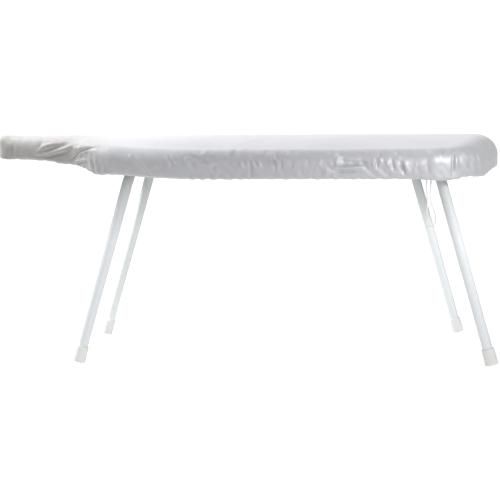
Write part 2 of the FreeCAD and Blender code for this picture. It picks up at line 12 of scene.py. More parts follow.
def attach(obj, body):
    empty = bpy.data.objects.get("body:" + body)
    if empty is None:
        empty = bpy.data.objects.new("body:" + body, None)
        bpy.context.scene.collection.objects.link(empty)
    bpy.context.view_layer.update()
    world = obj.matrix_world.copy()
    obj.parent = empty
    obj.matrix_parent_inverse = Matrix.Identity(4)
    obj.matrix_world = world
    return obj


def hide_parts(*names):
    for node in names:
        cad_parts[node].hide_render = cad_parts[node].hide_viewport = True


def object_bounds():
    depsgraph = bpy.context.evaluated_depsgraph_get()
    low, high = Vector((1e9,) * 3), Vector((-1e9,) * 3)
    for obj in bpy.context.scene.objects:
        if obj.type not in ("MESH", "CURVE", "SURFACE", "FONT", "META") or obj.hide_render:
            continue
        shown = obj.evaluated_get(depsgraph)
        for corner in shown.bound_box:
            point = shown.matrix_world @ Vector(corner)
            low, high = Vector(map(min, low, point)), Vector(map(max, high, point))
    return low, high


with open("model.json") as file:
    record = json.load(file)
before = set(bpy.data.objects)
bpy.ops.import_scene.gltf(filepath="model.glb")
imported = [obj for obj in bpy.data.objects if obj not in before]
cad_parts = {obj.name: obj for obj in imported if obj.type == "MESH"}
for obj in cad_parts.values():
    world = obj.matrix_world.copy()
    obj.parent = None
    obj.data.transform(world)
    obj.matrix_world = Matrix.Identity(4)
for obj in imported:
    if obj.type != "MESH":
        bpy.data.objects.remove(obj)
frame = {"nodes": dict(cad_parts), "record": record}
CAD_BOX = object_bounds()
NODES = frame["nodes"]
SCENE = bpy.context.scene
MM = 0.001

# ---- camera -----------------------------------------------------------------------------------

CAMERA_AT = Vector((0.0516, -1.7807, 0.3108))
CAMERA_YAW = -0.02734
CAMERA_DOWN = 0.08474
CAMERA_ROLL = -0.00289
CAMERA_LENS = 79.54


def add_camera():
    """Camera level with the board, looking slightly down, as wide as a short telephoto lens."""
    right = Vector((math.cos(CAMERA_YAW), -math.sin(CAMERA_YAW), 0))
    ahead = Vector((
        math.sin(CAMERA_YAW) * math.cos(CAMERA_DOWN),
        math.cos(CAMERA_YAW) * math.cos(CAMERA_DOWN),
        -math.sin(CAMERA_DOWN),
    ))
    up = right.cross(ahead)
    cosine, sine = math.cos(CAMERA_ROLL), math.sin(CAMERA_ROLL)
    rolled_right = right * cosine + up * sine
    rolled_up = up * cosine - right * sine
    turn = Matrix((rolled_right, rolled_up, -ahead)).transposed().to_4x4()
    lens = bpy.data.cameras.new("camera")
    lens.lens = CAMERA_LENS
    lens.sensor_width = 36
    lens.clip_end = 50
    camera = bpy.data.objects.new("camera", lens)
    camera.matrix_world = Matrix.Translation(CAMERA_AT) @ turn
    SCENE.collection.objects.link(camera)
    SCENE.camera = camera


add_camera()

# ---- drawstring loop --------------------------------------------------------------------------

CORD_DIAMETER = 0.0022
LOOP_ROUTE = [
    (0.2639, -0.1693, 0.2846),
    (0.2639, -0.1696, 0.2638),
    (0.2660, -0.1702, 0.2405),
    (0.2630, -0.1700, 0.2230),
    (0.2635, -0.1698, 0.2090),
    (0.2775, -0.1696, 0.2085),
    (0.2785, -0.1697, 0.2225),
    (0.2730, -0.1702, 0.2360),
    (0.2688, -0.1700, 0.2520),
    (0.2704, -0.1695, 0.2685),
    (0.2702, -0.1693, 0.2846),
]


def spline_curve(name, route, diameter=0.0):
    """Smooth NURBS curve with the route's points as its control points."""
    curve = bpy.data.curves.new(name, "CURVE")
    curve.dimensions = "3D"
    curve.bevel_depth = diameter / 2
    curve.bevel_resolution = 5
    curve.resolution_u = 12
    spline = curve.splines.new("NURBS")
    spline.points.add(len(route) - 1)
    for point, place in zip(spline.points, route):
        point.co = (*place, 1)
    spline.order_u = 3
    spline.use_endpoint_u = True
    thing = bpy.data.objects.new(name, curve)
    SCENE.collection.objects.link(thing)
    return thing


def path_points(thing):
    """Points along a curve's middle line."""
    bare = bpy.data.objects.new("bare", thing.data.copy())
    bare.data.bevel_depth = 0
    mesh = bpy.data.meshes.new_from_object(bare)
    points = [vertex.co.copy() for vertex in mesh.vertices]
    bpy.data.meshes.remove(mesh)
    bpy.data.curves.remove(bare.data)
    return points


def length_of(points):
    return sum((b - a).length for a, b in zip(points, points[1:]))


loop_cord = spline_curve("drawstring_loop_cord", LOOP_ROUTE, CORD_DIAMETER)

# ---- outline of the board and the arch --------------------------------------------------------

CORNERS = [
    (-0.393, 0.057, 0.045),
    (-0.262, 0.105, 0.045),
    (-0.213, 0.158, 0.070),
    (-0.110, 0.184, 0.400),
    (0.333, 0.184, 0.100),
    (0.393, 0.046, 0.150),
]
ARCH_RADIUS = 0.5718
ARCH_CENTRE = CAD_BOX[1][2] - ARCH_RADIUS
COVER_DROP = 0.035
HEM_DROP = 0.0364
HEM_ROUNDING = 0.004
CORNER_SAMPLES = 60
TUNNEL_INSET = 0.0148
TUNNEL_DROP = 0.0324
TUNNEL_RADIUS = 0.0021
ROWS_TUNNEL = 8
ROWS_SIDE = 16


def outline_samples(step):
    """Evenly spaced points round the board with their outward normals, nose to tail and back."""
    corners = CORNERS + [(x, -y, r) for x, y, r in reversed(CORNERS)]
    points = [np.array((x, y)) for x, y, _ in corners]
    path = []
    for index, (_, _, radius) in enumerate(corners):
        here = points[index]
        back = points[index - 1] - here
        ahead = points[(index + 1) % len(points)] - here
        back, ahead = back / np.linalg.norm(back), ahead / np.linalg.norm(ahead)
        half = math.acos(float(np.clip(back @ ahead, -1, 1))) / 2
        middle = (back + ahead) / np.linalg.norm(back + ahead)
        centre = here + middle * radius / math.sin(half)
        start, end = here + back * radius / math.tan(half), here + ahead * radius / math.tan(half)
        first = math.atan2(*(start - centre)[::-1])
        sweep = math.atan2(*(end - centre)[::-1]) - first
        sweep = (sweep + math.pi) % (2 * math.pi) - math.pi
        for share in np.linspace(0, 1, CORNER_SAMPLES):
            angle = first + sweep * share
            path.append(centre + radius * np.array((math.cos(angle), math.sin(angle))))
    path = np.array(path + [path[0]])
    travel = np.concatenate([[0], np.cumsum(np.linalg.norm(np.diff(path, axis=0), axis=1))])
    count = int(round(travel[-1] / step))
    at = np.linspace(0, travel[-1], count, endpoint=False)
    spots = np.stack([np.interp(at, travel, path[:, axis]) for axis in (0, 1)], axis=1)
    along = np.roll(spots, -1, axis=0) - np.roll(spots, 1, axis=0)
    along /= np.linalg.norm(along, axis=1)[:, None]
    normals = np.stack([-along[:, 1], along[:, 0]], axis=1)
    return spots, normals, at


def arch_z(y, drop):
    """Height of the arch, a depth below the cover's top, at a distance across the board."""
    return ARCH_CENTRE + np.sqrt((ARCH_RADIUS - drop) ** 2 - y**2)


def smooth(value, low, high):
    share = np.clip((value - low) / (high - low), 0, 1)
    return share * share * (3 - 2 * share)


def shoulder_size(x, facing):
    """How far the cover's edge rounds in and down: soft at the nose, fullest round the tail's end."""
    nose = smooth(-x, 0.19, 0.30)
    tip = smooth(-facing, 0.55, 0.95)
    tail = smooth(facing, 0.45, 0.98)
    a = 0.018 + 0.002 * nose - 0.012 * tip + 0.016 * tail
    b = 0.017 + 0.005 * nose - 0.014 * tip + 0.014 * tail
    return a, b


def hem_drop(x, facing):
    """Depth of the cloth's lowest edge: less at the nose, more at the shoulder and the tail."""
    nose = 0.0030 * smooth(-x, 0.283, 0.305) - 0.0015 * smooth(-x, 0.355, 0.385)
    shoulder = 0.0040 * np.exp(-(((x + 0.224) / 0.017) ** 2))
    sag = 0.0034 * np.exp(-(((x - 0.295) / 0.035) ** 2))
    return HEM_DROP - nose + shoulder + sag + 0.0120 * smooth(facing, 0.50, 0.95)


def cover_rows(x, facing, inset, thin):
    """Cloth profile from the drawstring tunnel to the top, as (inset, drop) for each row."""
    a, b = shoulder_size(x, facing)
    a, b = a - thin, b - thin
    low = hem_drop(x, facing) - thin
    corner = HEM_ROUNDING
    level = 0 * x
    rows = []
    for angle in np.linspace(math.radians(170), math.radians(-90), 9)[:-1]:
        rows.append((
            thin + TUNNEL_INSET + TUNNEL_RADIUS * math.cos(angle) + level,
            TUNNEL_DROP - TUNNEL_RADIUS * math.sin(angle) + level,
        ))
    for share in np.linspace(0, 1, 5)[:-1]:
        drop = TUNNEL_DROP + TUNNEL_RADIUS
        rows.append((
            thin + TUNNEL_INSET + (corner - TUNNEL_INSET) * share + level,
            drop + (low - drop) * share + level,
        ))
    for angle in np.linspace(0, math.pi / 2, 5)[:-1]:
        rows.append((
            thin + corner * (1 - math.sin(angle)) + level,
            low - corner * (1 - math.cos(angle)) + level,
        ))
    top_of_side = b + thin
    for share in np.linspace(0, 1, 9)[:-1]:
        rows.append((thin + level, low - corner + (top_of_side - low + corner) * share))
    for angle in np.linspace(0, math.pi / 2, 10)[:-1]:
        rows.append((thin + a * (1 - math.cos(angle)), thin + b * (1 - math.sin(angle))))
    for share in np.linspace(0, 1, 6):
        rows.append((thin + a + (inset - a) * share, thin + level))
    return rows


def ring_end(facing):
    """Inset of the innermost ring: further in round the tail's fuller edge."""
    return 0.0245 + 0.018 * smooth(facing, 0.2, 0.8)


def shell_mesh(name, step, grid, thin=0.0, first_row=0):
    """The cover's surface: rings round the edge and an even net over the top inside them."""
    spots, normals, _ = outline_samples(step)
    x = spots[:, 0]
    facing = normals[:, 0]
    rows = cover_rows(x, facing, ring_end(facing), thin)[first_row:]
    points = []
    for inset, drop in rows:
        plan = spots - normals * np.broadcast_to(inset, x.shape)[:, None]
        points.append(np.column_stack([plan, arch_z(plan[:, 1], drop)]))
    count = len(spots)
    faces = []
    for row in range(len(rows) - 1):
        for column in range(count):
            after = (column + 1) % count
            faces.append((
                row * count + column,
                (row + 1) * count + column,
                (row + 1) * count + after,
                row * count + after,
            ))
    inner = points[-1]
    start = (len(rows) - 1) * count
    extra = net_inside(inner[:, :2], grid)
    flat = [Vector(p) for p in inner[:, :2]] + [Vector(p) for p in extra]
    edges = [(index, (index + 1) % count) for index in range(count)]
    result = geometry.delaunay_2d_cdt(flat, edges, [], 1, 1e-7)
    if len(result[0]) != len(flat):
        raise RuntimeError("the top's net lost its edge points")
    top = np.array([tuple(v) for v in result[0]])
    points.append(np.column_stack([top[count:], arch_z(top[count:, 1], thin)]))
    for face in result[2]:
        faces.append(tuple(start + index for index in face))
    mesh = bpy.data.meshes.new(name)
    mesh.from_pydata(np.concatenate(points).tolist(), [], faces)
    mesh.update()
    tidy = bmesh.new()
    tidy.from_mesh(mesh)
    bmesh.ops.recalc_face_normals(tidy, faces=tidy.faces)
    bmesh.ops.join_triangles(
        tidy,
        faces=[face for face in tidy.faces if len(face.verts) == 3],
        angle_face_threshold=0.5,
        angle_shape_threshold=0.6,
    )
    tidy.to_mesh(mesh)
    tidy.free()
    thing = bpy.data.objects.new(name, mesh)
    SCENE.collection.objects.link(thing)
    return thing, count, len(rows)


def net_inside(ring, grid):
    """Even points inside a closed ring, kept half a pitch away from it."""
    low, high = ring.min(axis=0), ring.max(axis=0)
    found = []
    after = np.roll(ring, -1, axis=0)
    for row, y in enumerate(np.arange(low[1] + grid / 2, high[1], grid)):
        crosses = (ring[:, 1] > y) != (after[:, 1] > y)
        cuts = np.sort(
            ring[crosses, 0]
            + (y - ring[crosses, 1]) / (after[crosses, 1] - ring[crosses, 1]) * (after - ring)[crosses, 0]
        )
        for begin, end in zip(cuts[::2], cuts[1::2]):
            shift = grid / 2 * (row % 2)
            for x in np.arange(math.ceil(begin / grid) * grid + shift, end, grid):
                if begin + grid * 0.5 < x < end - grid * 0.5:
                    found.append((x, y))
    found = np.array(found)
    gap = np.min(np.linalg.norm(found[:, None, :] - ring[None, ::2, :], axis=2), axis=1)
    return found[gap > grid * 0.45]


def settle(thing, levels):
    """Apply a subdivision to a mesh."""
    modifier = thing.modifiers.new("even", "SUBSURF")
    modifier.levels = modifier.render_levels = levels
    evaluated = thing.evaluated_get(bpy.context.evaluated_depsgraph_get())
    mesh = bpy.data.meshes.new_from_object(evaluated)
    thing.modifiers.clear()
    old = thing.data
    thing.data = mesh
    bpy.data.meshes.remove(old)


def shade_smooth(thing):
    thing.data.polygons.foreach_set("use_smooth", [True] * len(thing.data.polygons))
    thing.data.update()


# ---- materials --------------------------------------------------------------------------------


class Paint:
    """A node material built step by step. Numbers are socket values; place is object space."""

    def __init__(self, name, colour, roughness, metallic=0.0):
        self.material = bpy.data.materials.new(name)
        self.material.use_nodes = True
        self.nodes = self.material.node_tree.nodes
        self.links = self.material.node_tree.links
        self.shader = self.nodes["Principled BSDF"]
        self.place = self.nodes.new("ShaderNodeTexCoord").outputs["Object"]
        self.set(**{"Base Color": (*colour, 1), "Roughness": roughness, "Metallic": metallic})
        self.normal = None

    def set(self, **values):
        for name, value in values.items():
            self.shader.inputs[name].default_value = value

    def node(self, kind):
        return self.nodes.new(kind)

    def scaled(self, scale):
        mapping = self.node("ShaderNodeMapping")
        mapping.inputs["Scale"].default_value = scale
        self.links.new(self.place, mapping.inputs["Vector"])
        return mapping.outputs["Vector"]

    def noise(self, scale, detail=3, roughness=0.5, stretch=(1, 1, 1)):
        noise = self.node("ShaderNodeTexNoise")
        noise.inputs["Scale"].default_value = scale
        noise.inputs["Detail"].default_value = detail
        noise.inputs["Roughness"].default_value = roughness
        self.links.new(self.scaled(stretch), noise.inputs["Vector"])
        return noise.outputs["Fac"]

    def wave(self, scale, direction, distortion=0.0):
        wave = self.node("ShaderNodeTexWave")
        wave.bands_direction = direction
        wave.inputs["Scale"].default_value = scale
        wave.inputs["Distortion"].default_value = distortion
        wave.inputs["Detail"].default_value = 1
        self.links.new(self.place, wave.inputs["Vector"])
        return wave.outputs["Fac"]

    def maths(self, operation, first, second):
        node = self.node("ShaderNodeMath")
        node.operation = operation
        for socket, value in zip(node.inputs, (first, second)):
            if isinstance(value, (int, float)):
                socket.default_value = value
            else:
                self.links.new(value, socket)
        return node.outputs[0]

    def spread(self, factor, low, high, out_low, out_high):
        node = self.node("ShaderNodeMapRange")
        for name, value in (("From Min", low), ("From Max", high), ("To Min", out_low), ("To Max", out_high)):
            node.inputs[name].default_value = value
        self.links.new(factor, node.inputs["Value"])
        return node.outputs["Result"]

    def ramp(self, factor, stops):
        node = self.node("ShaderNodeValToRGB")
        elements = node.color_ramp.elements
        while len(elements) < len(stops):
            elements.new(0.5)
        for element, (position, colour) in zip(elements, stops):
            element.position = position
            element.color = (*colour, 1)
        self.links.new(factor, node.inputs["Fac"])
        return node.outputs["Color"]

    def mix(self, factor, first, second):
        node = self.node("ShaderNodeMix")
        node.data_type = "RGBA"
        self.links.new(factor, node.inputs["Factor"])
        for socket, value in ((node.inputs["A"], first), (node.inputs["B"], second)):
            if isinstance(value, tuple):
                socket.default_value = (*value, 1)
            else:
                self.links.new(value, socket)
        return node.outputs["Result"]

    def bump(self, height, strength, distance):
        node = self.node("ShaderNodeBump")
        node.inputs["Strength"].default_value = strength
        node.inputs["Distance"].default_value = distance
        self.links.new(height, node.inputs["Height"])
        if self.normal is not None:
            self.links.new(self.normal, node.inputs["Normal"])
        self.normal = node.outputs["Normal"]
        self.links.new(self.normal, self.shader.inputs["Normal"])

    def feed(self, name, value):
        self.links.new(value, self.shader.inputs[name])


def silver_cotton():
    """Cotton with an aluminium coating: fine plain weave, soft sheen, darker and warmer over the nose, with
    painted shade darkening the nose's end.
    """
    paint = Paint("silver_cotton", (0.6, 0.6, 0.62), 0.48, 0.38)
    broad = paint.noise(9, 3)
    fine = paint.noise(160, 4)
    mottle = paint.maths("ADD", paint.maths("MULTIPLY", broad, 0.6), paint.maths("MULTIPLY", fine, 0.4))
    coating = paint.ramp(mottle, [(0.3, (0.515, 0.518, 0.542)), (0.7, (0.595, 0.598, 0.622))])
    split = paint.node("ShaderNodeSeparateXYZ")
    paint.links.new(paint.place, split.inputs[0])
    # darker, warmer tone over the nose
    nose_darkening = paint.spread(split.outputs["X"], -0.20, -0.27, 0, 0.8)
    # painted shade: the nose's end, which faces away from the lights, is painted darker
    painted_nose_end_shade = paint.spread(split.outputs["X"], -0.350, -0.376, 0, 0.75)
    darker_warmer_nose = paint.mix(nose_darkening, coating, (0.430, 0.416, 0.402))
    paint.feed("Base Color", paint.mix(painted_nose_end_shade, darker_warmer_nose, (0.350, 0.342, 0.322)))
    paint.feed("Roughness", paint.spread(fine, 0.3, 0.7, 0.42, 0.56))
    warp = paint.wave(900, "X", 0.6)
    weft = paint.wave(900, "Y", 0.6)
    rise = paint.wave(900, "Z", 0.6)
    weave = paint.maths("MULTIPLY", paint.maths("ADD", warp, rise), weft)
    paint.bump(weave, 0.12, 0.0002)
    paint.bump(paint.noise(55, 3), 0.15, 0.0006)
    paint.set(**{"Sheen Weight": 0.15, "Sheen Roughness": 0.4})
    return paint.material


def felt():
    paint = Paint("felt", (0.80, 0.77, 0.70), 0.95)
    fibres = paint.noise(420, 6, 0.75)
    paint.feed("Base Color", paint.ramp(fibres, [(0.35, (0.68, 0.65, 0.58)), (0.65, (0.86, 0.84, 0.78))]))
    paint.bump(fibres, 0.6, 0.0008)
    paint.set(**{"Sheen Weight": 0.4, "Sheen Roughness": 0.5})
    return paint.material


def enamelled_sheet():
    paint = Paint("enamelled_sheet", (0.80, 0.80, 0.78), 0.35)
    cloud = paint.noise(14, 4)
    peel = paint.noise(700, 2)
    paint.feed("Base Color", paint.ramp(cloud, [(0.3, (0.74, 0.74, 0.72)), (0.7, (0.83, 0.83, 0.81))]))
    paint.feed("Roughness", paint.spread(peel, 0.3, 0.7, 0.28, 0.42))
    paint.bump(peel, 0.12, 0.0002)
    return paint.material


def white_tube():
    paint = Paint("white_tube", (0.82, 0.84, 0.85), 0.38)
    cloud = paint.noise(12, 3)
    peel = paint.noise(1100, 2)
    scuff = paint.noise(60, 5, 0.7, (1, 1, 0.12))
    base = paint.ramp(cloud, [(0.3, (0.88, 0.91, 0.93)), (0.7, (0.92, 0.95, 0.96))])
    marks = paint.spread(scuff, 0.66, 0.74, 0, 0.25)
    scuffed = paint.mix(marks, base, (0.66, 0.68, 0.69))
    # painted shadow: the tube greys towards its top, where the board's shadow falls on it
    height = paint.node("ShaderNodeSeparateXYZ")
    paint.links.new(paint.node("ShaderNodeTexCoord").outputs["Generated"], height.inputs[0])
    painted_board_shadow = paint.spread(height.outputs["Z"], 0.60, 0.93, 0, 0.85)
    paint.feed("Base Color", paint.mix(painted_board_shadow, scuffed, (0.46, 0.48, 0.48)))
    paint.feed("Roughness", paint.spread(scuff, 0.3, 0.75, 0.32, 0.50))
    paint.bump(peel, 0.18, 0.0002)
    paint.set(**{"Coat Weight": 0.15, "Coat Roughness": 0.3})
    return paint.material


def zinc_sheet():
    paint = Paint("zinc_sheet", (0.62, 0.63, 0.65), 0.35, 0.9)
    brush = paint.noise(90, 4, 0.6, (12, 1, 12))
    spangle = paint.noise(45, 2)
    paint.feed("Base Color", paint.ramp(spangle, [(0.3, (0.52, 0.53, 0.55)), (0.7, (0.70, 0.71, 0.73))]))
    paint.feed("Roughness", paint.spread(brush, 0.3, 0.7, 0.25, 0.45))
    paint.bump(brush, 0.1, 0.0002)
    return paint.material


def screw_steel():
    paint = Paint("screw_steel", (0.5, 0.51, 0.53), 0.3, 1.0)
    turned = paint.noise(900, 3)
    paint.feed("Base Color", paint.ramp(turned, [(0.3, (0.42, 0.43, 0.45)), (0.7, (0.62, 0.63, 0.65))]))
    paint.feed("Roughness", paint.spread(turned, 0.3, 0.7, 0.22, 0.38))
    paint.bump(turned, 0.08, 0.0001)
    return paint.material


def nylon():
    paint = Paint("nylon", (0.86, 0.84, 0.79), 0.42)
    flow = paint.noise(70, 4)
    spark = paint.noise(900, 2)
    paint.feed("Base Color", paint.ramp(flow, [(0.3, (0.80, 0.78, 0.72)), (0.7, (0.88, 0.86, 0.81))]))
    paint.feed("Roughness", paint.spread(spark, 0.3, 0.7, 0.36, 0.50))
    paint.bump(spark, 0.12, 0.0002)
    paint.set(**{"Subsurface Weight": 0.1, "Subsurface Scale": 0.004})
    return paint.material


def cap_plastic():
    paint = Paint("cap_plastic", (0.86, 0.85, 0.81), 0.5)
    flow = paint.noise(55, 4)
    spark = paint.noise(800, 3)
    paint.feed("Base Color", paint.ramp(flow, [(0.3, (0.92, 0.92, 0.89)), (0.7, (0.95, 0.95, 0.93))]))
    paint.feed("Roughness", paint.spread(spark, 0.3, 0.7, 0.42, 0.60))
    paint.bump(spark, 0.2, 0.0002)
    paint.set(**{"Subsurface Weight": 0.15, "Subsurface Scale": 0.005})
    return paint.material


def white_cord():
    paint = Paint("white_cord", (0.9, 0.9, 0.9), 0.8)
    strands = paint.wave(420, "DIAGONAL", 1.5)
    fibres = paint.noise(1500, 4)
    paint.feed("Base Color", paint.ramp(strands, [(0.1, (0.70, 0.71, 0.71)), (0.6, (0.90, 0.90, 0.90))]))
    paint.bump(strands, 0.5, 0.0003)
    paint.bump(fibres, 0.2, 0.0001)
    return paint.material


MATERIALS = {
    make.__name__: make()
    for make in (
        silver_cotton,
        felt,
        enamelled_sheet,
        white_tube,
        zinc_sheet,
        screw_steel,
        nylon,
        cap_plastic,
        white_cord,
    )
}


def dress(thing, slot):
    """Give a piece or node the look and the material slot of that name."""
    thing.data.materials.clear()
    thing.data.materials.append(MATERIALS[slot])
    return thing


for part in frame["record"]["subparts"]:
    dress(NODES[part["node"]], part["material_slot"])

# ---- cover ------------------------------------------------------------------------------------

CHANCE = np.random.RandomState(11)
CLOTH_STEP = 0.0032
CLOTH_NET = 0.009
CLOTH_THICKNESS = 0.0007
PAD_STEP = 0.006
PAD_NET = 0.012
PAD_THICKNESS = 0.005
PAD_GAP = 0.0016
FINE_STEP = 0.001
SETTLE_FRAMES = 16
SETTLE_LIMIT = 0.006
BULGE_LIMIT = 0.0008
RANDOM_FOLDS = 210
SOFT_DENTS = 26


def coordinates(mesh, kind="co"):
    values = np.empty(len(mesh.vertices) * 3)
    if kind == "normal":
        mesh.vertex_normals.foreach_get("vector", values)
    else:
        mesh.vertices.foreach_get(kind, values)
    return values.reshape(-1, 3)


def move_to(mesh, places):
    mesh.vertices.foreach_set("co", places.ravel())
    mesh.update()


def pucker_field(at, height, length):
    """Uneven gathers along the edge: rounded bulges between narrow valleys, in clusters."""
    total = np.zeros_like(at)
    for _ in range(9):
        waves = CHANCE.randint(int(length / 0.034), int(length / 0.013))
        slant = CHANCE.uniform(-0.9, 0.5)
        phase, swell, _ = CHANCE.uniform(0, 2 * math.pi, 3)
        lumps = CHANCE.randint(4, 13)
        cluster = np.clip(0.35 + np.sin(2 * math.pi * lumps * at / length + swell), 0, None)
        angle = math.pi * waves * (at + slant * height) / length + phase
        total += CHANCE.uniform(0.4, 1) * cluster * (2 * np.abs(np.cos(angle)) ** 0.8 - 1.1)
    return total / 3.2


def add_gathers(mesh, count, rows, length):
    """First uneven gathers, before the cloth settles."""
    places, normals = coordinates(mesh), coordinates(mesh, "normal")
    index = np.arange(len(places))
    row = np.minimum(index // count, rows)
    at = (index % count) * (length / count)
    height = (row - ROWS_SIDE) * 0.0025
    size = np.interp(
        row,
        [0, ROWS_TUNNEL, ROWS_TUNNEL + 4, ROWS_SIDE, ROWS_SIDE + 8, ROWS_SIDE + 14, rows - 3],
        [0.0003, 0.0006, 0.0018, 0.0008, 0.0013, 0.0005, 0],
    )
    places += normals * (pucker_field(at, height, length) * size)[:, None]
    move_to(mesh, places)
    return row


def group(thing, name, weights):
    made = thing.vertex_groups.new(name=name)
    for level in np.unique(weights):
        if level > 0:
            made.add(np.nonzero(weights == level)[0].tolist(), float(level), "REPLACE")


def let_cloth_settle(thing, row, rows, base, normals):
    """Cloth simulation of the gathered band over the soft pad, held by its drawstring and its top."""
    held = np.zeros(len(row))
    held[row <= ROWS_TUNNEL] = 1
    held[row >= rows - 1] = 1
    group(thing, "held", held)
    modifier = thing.modifiers.new("settle", "CLOTH")
    cloth = modifier.settings
    cloth.quality = 5
    cloth.mass = 0.2
    cloth.tension_stiffness = cloth.compression_stiffness = 12
    cloth.shear_stiffness = 4
    cloth.bending_stiffness = 0.04
    cloth.air_damping = 3
    cloth.vertex_group_mass = "held"
    cloth.use_pressure = True
    cloth.uniform_pressure_force = 1.0
    cloth.effector_weights.gravity = 0
    modifier.collision_settings.distance_min = 0.001
    modifier.point_cache.frame_start = 1
    modifier.point_cache.frame_end = SETTLE_FRAMES
    for step in range(1, SETTLE_FRAMES + 1):
        SCENE.frame_set(step)
    evaluated = thing.evaluated_get(bpy.context.evaluated_depsgraph_get())
    mesh = bpy.data.meshes.new_from_object(evaluated)
    settled = coordinates(mesh)
    bpy.data.meshes.remove(mesh)
    thing.modifiers.remove(modifier)
    SCENE.frame_set(1)
    shift = settled - base
    outward = np.einsum("ij,ij->i", shift, normals)
    shift -= normals * np.clip(outward - BULGE_LIMIT, 0, None)[:, None]
    size = np.linalg.norm(shift, axis=1)
    shift *= (np.minimum(size, SETTLE_LIMIT) / np.maximum(size, 1e-9))[:, None]
    move_to(thing.data, base + shift)


def along_line(spots, line):
    """Distance of each spot from a broken line, and how far along the line it lies (0 to 1)."""
    line = np.array(line)
    spans = np.linalg.norm(np.diff(line, axis=0), axis=1)
    travelled = np.concatenate([[0], np.cumsum(spans)]) / spans.sum()
    best = np.full(len(spots), 1e9)
    share = np.zeros(len(spots))
    for start, end, low, high in zip(line[:-1], line[1:], travelled[:-1], travelled[1:]):
        step = end - start
        t = np.clip((spots - start) @ step / (step @ step), 0, 1)
        gap = np.linalg.norm(spots - start - t[:, None] * step, axis=1)
        nearer = gap < best
        best[nearer] = gap[nearer]
        share[nearer] = (low + (high - low) * t)[nearer]
    return best, share


def press_folds(spots, folds):
    """Sum of soft ridges (positive) and valleys (negative); folds are in millimetres."""
    total = np.zeros(len(spots))
    for height, width, line in folds:
        line = np.array(line) * MM
        reach = 3 * width * MM
        near = np.all((spots > line.min(axis=0) - reach) & (spots < line.max(axis=0) + reach), axis=1)
        gap, share = along_line(spots[near], line)
        fade = np.sin(np.pi * np.clip(share, 0.04, 0.96)) ** 0.6
        total[near] += height * MM * fade * np.exp(-((gap / (width * MM)) ** 2))
    return total
